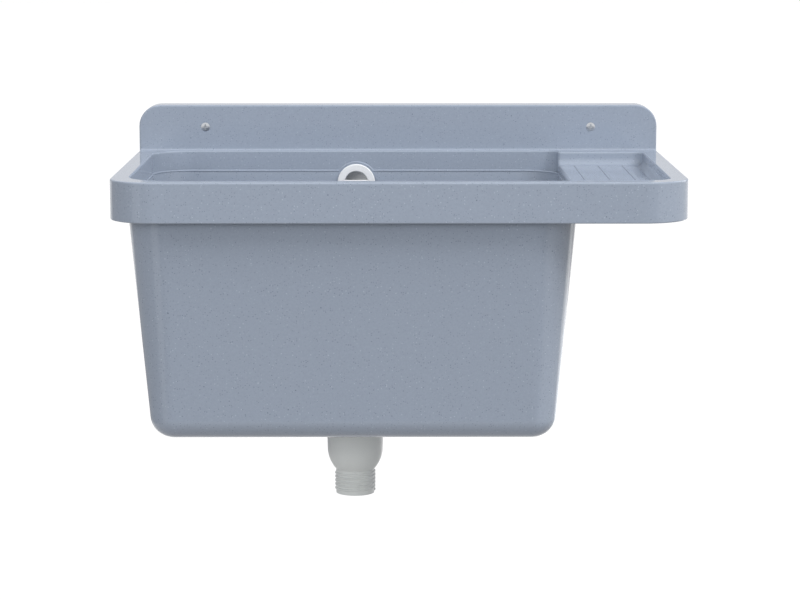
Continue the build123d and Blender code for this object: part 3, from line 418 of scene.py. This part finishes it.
rings_top = ring_pitch * RING_COUNT
cuff_steps = [(CUFF, CUFF_START)]
cuff_steps += [(CUFF, HOSE_CUFF * share) for share in (0.2, 0.4, 0.6, 0.8)]
cuff_steps += [(CUFF, HOSE_CUFF - RIM_EASE), (CUFF - RIM_EASE, HOSE_CUFF)]
cuff_steps += [(BORE + BORE_EASE, HOSE_CUFF), (BORE, HOSE_CUFF - BORE_EASE)]
grow_end(rings_top, [(radius, rings_top + rise) for radius, rise in cuff_steps])
grow_end(0, [(radius, -rise) for radius, rise in cuff_steps])
bpy.ops.object.mode_set(mode="EDIT")
bpy.ops.mesh.select_all(action="DESELECT")
bpy.ops.mesh.select_non_manifold()
bpy.ops.mesh.bridge_edge_loops(number_cuts=BORE_CUTS)
tidy_mesh()
put(hose, (0, 0, HOSE_CUFF))
print("straight hose has", len(hose.data.polygons), "faces")

# %% [markdown]
# On the sink the hose hangs straight down from the overflow, makes a quarter turn and runs forward to the
# drain cup. A Curve modifier bends the straight hose along that route, which is the middle line of the CAD
# solid. The route is four points with handles, because a curve of few points keeps the bend even. It is
# removed once the bend is applied.

# %% Bend the hose along its route
QUARTER_PULL, END_PULL = 0.5523, 30.0
bend_pull = HOSE_BEND * QUARTER_PULL
corner_y, corner_z = HOSE_Y - HOSE_BEND, HOSE_TOP - HOSE_DROP - HOSE_BEND
# Each stop: its (y, z) in mm, and the handles before and after it, measured from there
route_stops = (
    ((HOSE_Y, HOSE_TOP), (0, END_PULL), (0, -HOSE_DROP / 3)),
    ((HOSE_Y, corner_z + HOSE_BEND), (0, HOSE_DROP / 3), (0, -bend_pull)),
    ((corner_y, corner_z), (bend_pull, 0), (-HOSE_RUN / 3, 0)),
    ((corner_y - HOSE_RUN, corner_z), (HOSE_RUN / 3, 0), (-END_PULL, 0)),
)


def box_mm(piece):
    """The lowest and highest corner of a piece's mesh, in millimetres."""
    places = [vertex.co / MM for vertex in piece.data.vertices]
    return [[round(end(place[i] for place in places), 1) for i in range(3)] for end in (min, max)]


route_data = bpy.data.curves.new("hose_route", "CURVE")
route_data.dimensions = "3D"
route_data.resolution_u = 48
line = route_data.splines.new("BEZIER")
line.bezier_points.add(len(route_stops) - 1)
for point, (stop, before, after) in zip(line.bezier_points, route_stops):
    point.handle_left_type = "FREE"
    point.handle_right_type = "FREE"
    point.co = (HOSE_X * MM, stop[0] * MM, stop[1] * MM)
    point.handle_left = (HOSE_X * MM, (stop[0] + before[0]) * MM, (stop[1] + before[1]) * MM)
    point.handle_right = (HOSE_X * MM, (stop[0] + after[0]) * MM, (stop[1] + after[1]) * MM)
route = bpy.data.objects.new("hose_route", route_data)
bpy.context.scene.collection.objects.link(route)
along = hose.modifiers.new("along_route", "CURVE")
along.object = route
along.deform_axis = "POS_Z"
pick(hose)
bpy.ops.object.modifier_apply(modifier=along.name)
bpy.data.objects.remove(route)
settle(hose, "overflow_hose")
print("hose box", box_mm(hose))

# %% [markdown]
# A worm-drive clip is a strip of stainless steel rolled into a ring, with a row of slots for the worm, and
# a pressed housing that holds the screw. The slots could be a pattern in the finish, but they would be lost
# in the mesh. So the ring is turned with facets as wide as a slot, and every second facet of its middle
# band is inset and pushed in, except under the housing and on the far side, where the strip is plain.

# %% Band of a hose clip
BAND_IN, BAND_OUT, BAND_WIDTH, BAND_FACETS = 10.3, 11.1, 9.0, 72
SLOT_REACH, SLOT_MARGIN, SLOT_DEPTH = 2.7, 0.08, 0.35
PLAIN_NEAR, PLAIN_FAR = 5, 30


def clip_band(name):
    """The slotted strip of a clip round the Z axis, with the place of its housing on +X."""
    half = BAND_WIDTH / 2
    band = turned(name, [
        (BAND_IN, -half), (BAND_OUT, -half), (BAND_OUT, -SLOT_REACH), (BAND_OUT, SLOT_REACH),
        (BAND_OUT, half), (BAND_IN, half), (BAND_IN, -half)], BAND_FACETS)
    bpy.ops.object.mode_set(mode="EDIT")
    bpy.ops.mesh.select_mode(type="FACE")
    bpy.ops.mesh.select_all(action="DESELECT")
    bpy.ops.object.mode_set(mode="OBJECT")
    for face in band.data.polygons:
        middle = face.center
        outer = math.hypot(middle.x, middle.y) > (BAND_OUT - 0.1) * MM
        facet = round(math.degrees(math.atan2(middle.y, middle.x)) * BAND_FACETS / 360 - 0.5)
        slotted = facet % 2 == 0 and PLAIN_NEAR < abs(facet) < PLAIN_FAR
        face.select = outer and slotted and abs(middle.z) < MM
    bpy.ops.object.mode_set(mode="EDIT")
    bpy.ops.mesh.inset(thickness=SLOT_MARGIN * MM, use_individual=True)
    bpy.ops.mesh.extrude_faces_move(TRANSFORM_OT_shrink_fatten={"value": -SLOT_DEPTH * MM})
    return band


print("a slot is", round(2 * math.pi * BAND_OUT / BAND_FACETS - 2 * SLOT_MARGIN, 2), "mm wide")

# %% [markdown]
# The housing is a block added in the same mesh. The edges of its top are rounded over the screw, and its
# two ends are inset and pushed in, as the open ends of a pressed tunnel. Both clips are made alike: one
# goes round the upper cuff, and the other is turned to lie along the hose's last stretch.

# %% Hose clips
HOUSING_HEIGHT, HOUSING_LENGTH, HOUSING_LIFT, HOUSING_ROUND = 5.5, 11.0, 0.4, 2.8
TUNNEL_WALL, TUNNEL_DEPTH, CLIP_EASE = 0.7, 0.8, 0.12
NEAR = 0.01 * MM


def hose_clip(name):
    """One clip round the Z axis, with its housing on +X."""
    clip = clip_band(name)
    foot = BAND_IN + HOUSING_LIFT
    middle = ((foot + HOUSING_HEIGHT / 2) * MM, 0, 0)
    bpy.ops.mesh.select_all(action="DESELECT")
    bpy.ops.mesh.primitive_cube_add(size=MM, location=middle)
    bpy.ops.transform.resize(value=(HOUSING_HEIGHT, HOUSING_LENGTH, BAND_WIDTH), center_override=middle)
    bpy.ops.object.mode_set(mode="OBJECT")
    top = (foot + HOUSING_HEIGHT) * MM
    for edge in clip.data.edges:
        ends = [clip.data.vertices[i].co for i in edge.vertices]
        at_top = all(abs(end.x - top) < NEAR for end in ends)
        edge.select = at_top and abs(ends[0].z - ends[1].z) < NEAR
    bpy.ops.object.mode_set(mode="EDIT")
    bpy.ops.mesh.select_mode(type="EDGE")
    bpy.ops.mesh.bevel(offset=HOUSING_ROUND * MM, segments=6, affect="EDGES")
    bpy.ops.mesh.select_mode(type="FACE")
    bpy.ops.object.mode_set(mode="OBJECT")
    for face in clip.data.polygons:
        at_end = abs(abs(face.center.y) - HOUSING_LENGTH / 2 * MM) < NEAR
        face.select = at_end and face.center.x > 0
    bpy.ops.object.mode_set(mode="EDIT")
    bpy.ops.mesh.inset(thickness=TUNNEL_WALL * MM, use_individual=True)
    bpy.ops.mesh.extrude_faces_move(TRANSFORM_OT_shrink_fatten={"value": -TUNNEL_DEPTH * MM})
    bpy.ops.object.mode_set(mode="OBJECT")
    ease_edges(clip, CLIP_EASE, 50)
    return clip


clip_places = (
    ("hose_clip_upper", (HOSE_X, HOSE_Y, HOSE_TOP - HOSE_CUFF / 2), (0, 0, 0)),
    ("hose_clip_lower", (HOSE_X, corner_y - HOSE_RUN + HOSE_CUFF / 2, corner_z), (90, 0, 0)),
)
for node, place, turn in clip_places:
    clip = hose_clip(node + "_pressed")
    put(clip, place, turn)
    settle(clip, node)
    print(node, "CAD", [[round(v / MM, 1) for v in c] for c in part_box(node)], "piece", box_mm(clip))

# %% [markdown]
# A bar runs across the overflow's hole, level with the face of its white ring, so that nothing large is
# washed in. It starts as a block that reaches a little into the ring at each end. Its four long edges are
# rounded, as a mould leaves them, and its ends disappear in the ring.

# %% Bar across the overflow
RING_X, RING_Z, RING_FACE_Y, RING_BORE = -49.25, -38.0, -41.85, 13.75
BAR_HEIGHT, BAR_THICKNESS, BAR_SET_BACK, BAR_OVERLAP, BAR_ROUND = 6.8, 2.4, 0.2, 0.5, 0.8
bar_size = (2 * (RING_BORE + BAR_OVERLAP), BAR_THICKNESS, BAR_HEIGHT)
bpy.ops.object.select_all(action="DESELECT")
bpy.ops.mesh.primitive_cube_add(size=MM)
bar = bpy.context.object
bar.name = "overflow_bar"
bpy.ops.object.mode_set(mode="EDIT")
bpy.ops.mesh.select_all(action="SELECT")
bpy.ops.transform.resize(value=bar_size, center_override=(0, 0, 0))
bpy.ops.mesh.select_all(action="DESELECT")
bpy.ops.object.mode_set(mode="OBJECT")
for edge in bar.data.edges:
    ends = [bar.data.vertices[i].co for i in edge.vertices]
    edge.select = abs(ends[0].x - ends[1].x) > MM
bpy.ops.object.mode_set(mode="EDIT")
bpy.ops.mesh.select_mode(type="EDGE")
bpy.ops.mesh.bevel(offset=BAR_ROUND * MM, segments=4, affect="EDGES")
tidy_mesh()
put(bar, (RING_X, RING_FACE_Y + BAR_SET_BACK + BAR_THICKNESS / 2, RING_Z))
settle(bar, "overflow_rosette", stands_for=False)

# %% [markdown]
# The wall screws are ordinary wood screws. Behind the wall's plane their thread shows in views from the
# back, so it is modelled, because a bump would leave the outline plain: the closed section of the ridge is
# drawn at the root, a Screw modifier carries it round and along the shank, and both ends are filled.

# %% Thread of the wall screws
SCREW_X, SCREW_Z, THREAD_START = 227.0, 27.1, 1.0
THREAD_ROOT, THREAD_CREST, THREAD_PITCH, THREAD_TURNS, THREAD_FACETS = 1.9, 2.5, 1.9, 17, 20
# The ridge's section: share of the rise from root to crest, and share of the pitch
RIDGE_SHAPE = ((0.0, 0.0), (1.0, 0.28), (1.0, 0.38), (0.0, 0.66))


def thread_ridge(name):
    """A screw thread about the Z axis, from height 0 upwards."""
    rise = THREAD_CREST - THREAD_ROOT
    ridge = draw_chain(name, [(THREAD_ROOT + rise * up, THREAD_PITCH * on) for up, on in RIDGE_SHAPE])
    bpy.ops.mesh.edge_face_add()
    bpy.ops.mesh.delete(type="ONLY_FACE")
    bpy.ops.object.mode_set(mode="OBJECT")
    helix = ridge.modifiers.new("helix", "SCREW")
    helix.axis = "Z"
    helix.angle = 2 * math.pi
    helix.screw_offset = THREAD_PITCH * MM
    helix.iterations = THREAD_TURNS
    helix.steps = THREAD_FACETS
    helix.render_steps = THREAD_FACETS
    helix.use_merge_vertices = True
    helix.merge_threshold = 0.005 * MM
    bpy.ops.object.modifier_apply(modifier=helix.name)
    bpy.ops.object.mode_set(mode="EDIT")
    bpy.ops.mesh.select_all(action="SELECT")
    bpy.ops.mesh.fill_holes(sides=len(RIDGE_SHAPE))
    tidy_mesh()
    return ridge


for side, x in (("left", -SCREW_X), ("right", SCREW_X)):
    ridge = thread_ridge("wall_screw_thread_" + side)
    put(ridge, (x, THREAD_START, SCREW_Z), (-90, 0, 0))
    settle(ridge, "wall_screws", stands_for=False)

# %% [markdown]
# The studio is an even white surround. A bright surround alone could give a white background, but it would
# also wash out the object. So the camera, reflections and clear materials see it at full white, and the
# object is lit by a dimmer share of it.

# %% Surround
SURROUND_LIGHT = 0.55


def seen_directly(tree):
    """A socket that is 1 for rays of the camera, of reflections and through clear materials."""
    path = add_node(tree, "ShaderNodeLightPath")
    mirrored = add_node(tree, "ShaderNodeMath", {"operation": "ADD"}, {
        0: path.outputs["Is Camera Ray"], 1: path.outputs["Is Glossy Ray"]})
    seen = add_node(tree, "ShaderNodeMath", {"operation": "ADD", "use_clamp": True}, {
        0: mirrored.outputs["Value"], 1: path.outputs["Is Transmission Ray"]})
    return seen.outputs["Value"]


world = bpy.data.worlds.new("studio")
bpy.context.scene.world = world
world.use_nodes = True
tree = world.node_tree
tree.nodes.clear()
dim = add_node(tree, "ShaderNodeBackground", inputs={
    "Color": linear("FFFFFF"), "Strength": SURROUND_LIGHT})
white = add_node(tree, "ShaderNodeBackground", inputs={"Color": linear("FFFFFF"), "Strength": 1.0})
both = add_node(tree, "ShaderNodeMixShader", inputs={
    "Fac": seen_directly(tree), 1: dim.outputs["Background"], 2: white.outputs["Background"]})
add_node(tree, "ShaderNodeOutputWorld", inputs={"Surface": both.outputs["Shader"]})
print("surround lights the object at", SURROUND_LIGHT)

# %% [markdown]
# The sink hangs on a wall, and the photograph shows neither wall nor floor. A pale matt floor lies well
# below it, so that other views have a ground. To the camera and in reflections it glows up to the white of
# the surround and keeps the object's shadow. To the object it is a mid grey, which throws little light up.

# %% Floor
FLOOR_Z, FLOOR_SIZE, FLOOR_GLOW = -0.85, 60, 0.80
bpy.ops.object.select_all(action="DESELECT")
bpy.ops.mesh.primitive_plane_add(size=FLOOR_SIZE, location=(0, 0, FLOOR_Z))
floor = bpy.context.object
floor.name = "floor"
floor_finish = bpy.data.materials.new("pale_studio_floor")
floor_finish.use_nodes = True
tree = floor_finish.node_tree
tree.nodes.clear()
matt = add_node(tree, "ShaderNodeBsdfDiffuse", inputs={"Color": linear("7A7A7B")})
glow = add_node(tree, "ShaderNodeEmission", inputs={"Color": linear("FFFFFF"), "Strength": FLOOR_GLOW})
bright = add_node(tree, "ShaderNodeAddShader", inputs={
    0: matt.outputs["BSDF"], 1: glow.outputs["Emission"]})
mixed = add_node(tree, "ShaderNodeMixShader", inputs={
    "Fac": seen_directly(tree), 1: matt.outputs["BSDF"], 2: bright.outputs["Shader"]})
add_node(tree, "ShaderNodeOutputMaterial", inputs={"Surface": mixed.outputs["Shader"]})
floor.data.materials.append(floor_finish)
print("floor at", FLOOR_Z)

# %% [markdown]
# The photograph's right edges are bright, its left edges darker, and the apron throws a soft shadow on
# the bowl: a large soft light stands right, front and above. A weaker one from the front, a little above
# the rim, opens the recess and the shade under the bowl, and one from behind keeps the back readable.
# These don't show in the gloss, which sees the white surround. A fourth, right and behind, does: it draws
# the bright band down every right edge. All are distant lights, which reach every part of the sink alike.

# %% Lights


def soft_light(name, azimuth, height, energy, spread, in_gloss=False):
    """A distant light, placed by degrees to the right of the front and above the level."""
    data = bpy.data.lights.new(name, "SUN")
    data.energy = energy
    data.angle = math.radians(spread)
    light = bpy.data.objects.new(name, data)
    turn, rise = math.radians(azimuth), math.radians(height)
    toward = Vector((
        math.sin(turn) * math.cos(rise), -math.cos(turn) * math.cos(rise), math.sin(rise)))
    light.rotation_euler = toward.to_track_quat("Z", "Y").to_euler()
    light.visible_glossy = in_gloss
    bpy.context.scene.collection.objects.link(light)
    print(name, "from", [round(v, 2) for v in toward])


soft_light("key", 60, 50, 2.3, 36)
soft_light("front_fill", -18, 10, 1.2, 30)
soft_light("back_fill", 200, 30, 0.8, 40)
soft_light("right_rim", 125, 20, 0.6, 40, in_gloss=True)

# %% [markdown]
# Gloss would mirror the white surround on all sides, but in the photograph the extreme left edges are
# grey, the flat top of the rim stays below white and the front is calm. Upright cards stand for the
# studio's own walls: grey ones on the left and low in front, pale ones behind, and a bright one behind on
# the right. They glow evenly and only reflections see them, so they neither light nor shade the object.

# %% Cards seen in gloss only


def gloss_card(name, place, size, turn, code, strength=1.0):
    """An upright card, placed in metres and turned by degrees, that only reflections see."""
    bpy.ops.object.select_all(action="DESELECT")
    bpy.ops.mesh.primitive_plane_add(size=1, location=place)
    card = bpy.context.object
    card.name = name
    card.scale = (size[0], size[1], 1)
    card.rotation_euler = (math.radians(90), 0, math.radians(turn))
    card_finish = bpy.data.materials.new(name + "_glow")
    card_finish.use_nodes = True
    tree = card_finish.node_tree
    tree.nodes.clear()
    glow = add_node(tree, "ShaderNodeEmission", inputs={"Color": linear(code), "Strength": strength})
    add_node(tree, "ShaderNodeOutputMaterial", inputs={"Surface": glow.outputs["Emission"]})
    card.data.materials.append(card_finish)
    card.visible_camera = False
    card.visible_diffuse = False
    card.visible_shadow = False
    print(name, "at", place)


gloss_card("left_card", (-1.3, -0.1, -0.1), (1.8, 1.5), 90, "C0C0C2")
gloss_card("back_card", (0, 1.2, 0.25), (3.0, 0.7), 0, "DCDCDE")
gloss_card("low_back_card", (-1.15, 1.2, -0.65), (1.7, 0.4), 0, "B4B4B6")
gloss_card("low_right_card", (1.4, 1.2, -0.65), (2.2, 0.4), 0, "FFFFFF", strength=2.0)
gloss_card("front_card", (0, -1.6, -0.415), (2.4, 0.87), 0, "B0B0B2")
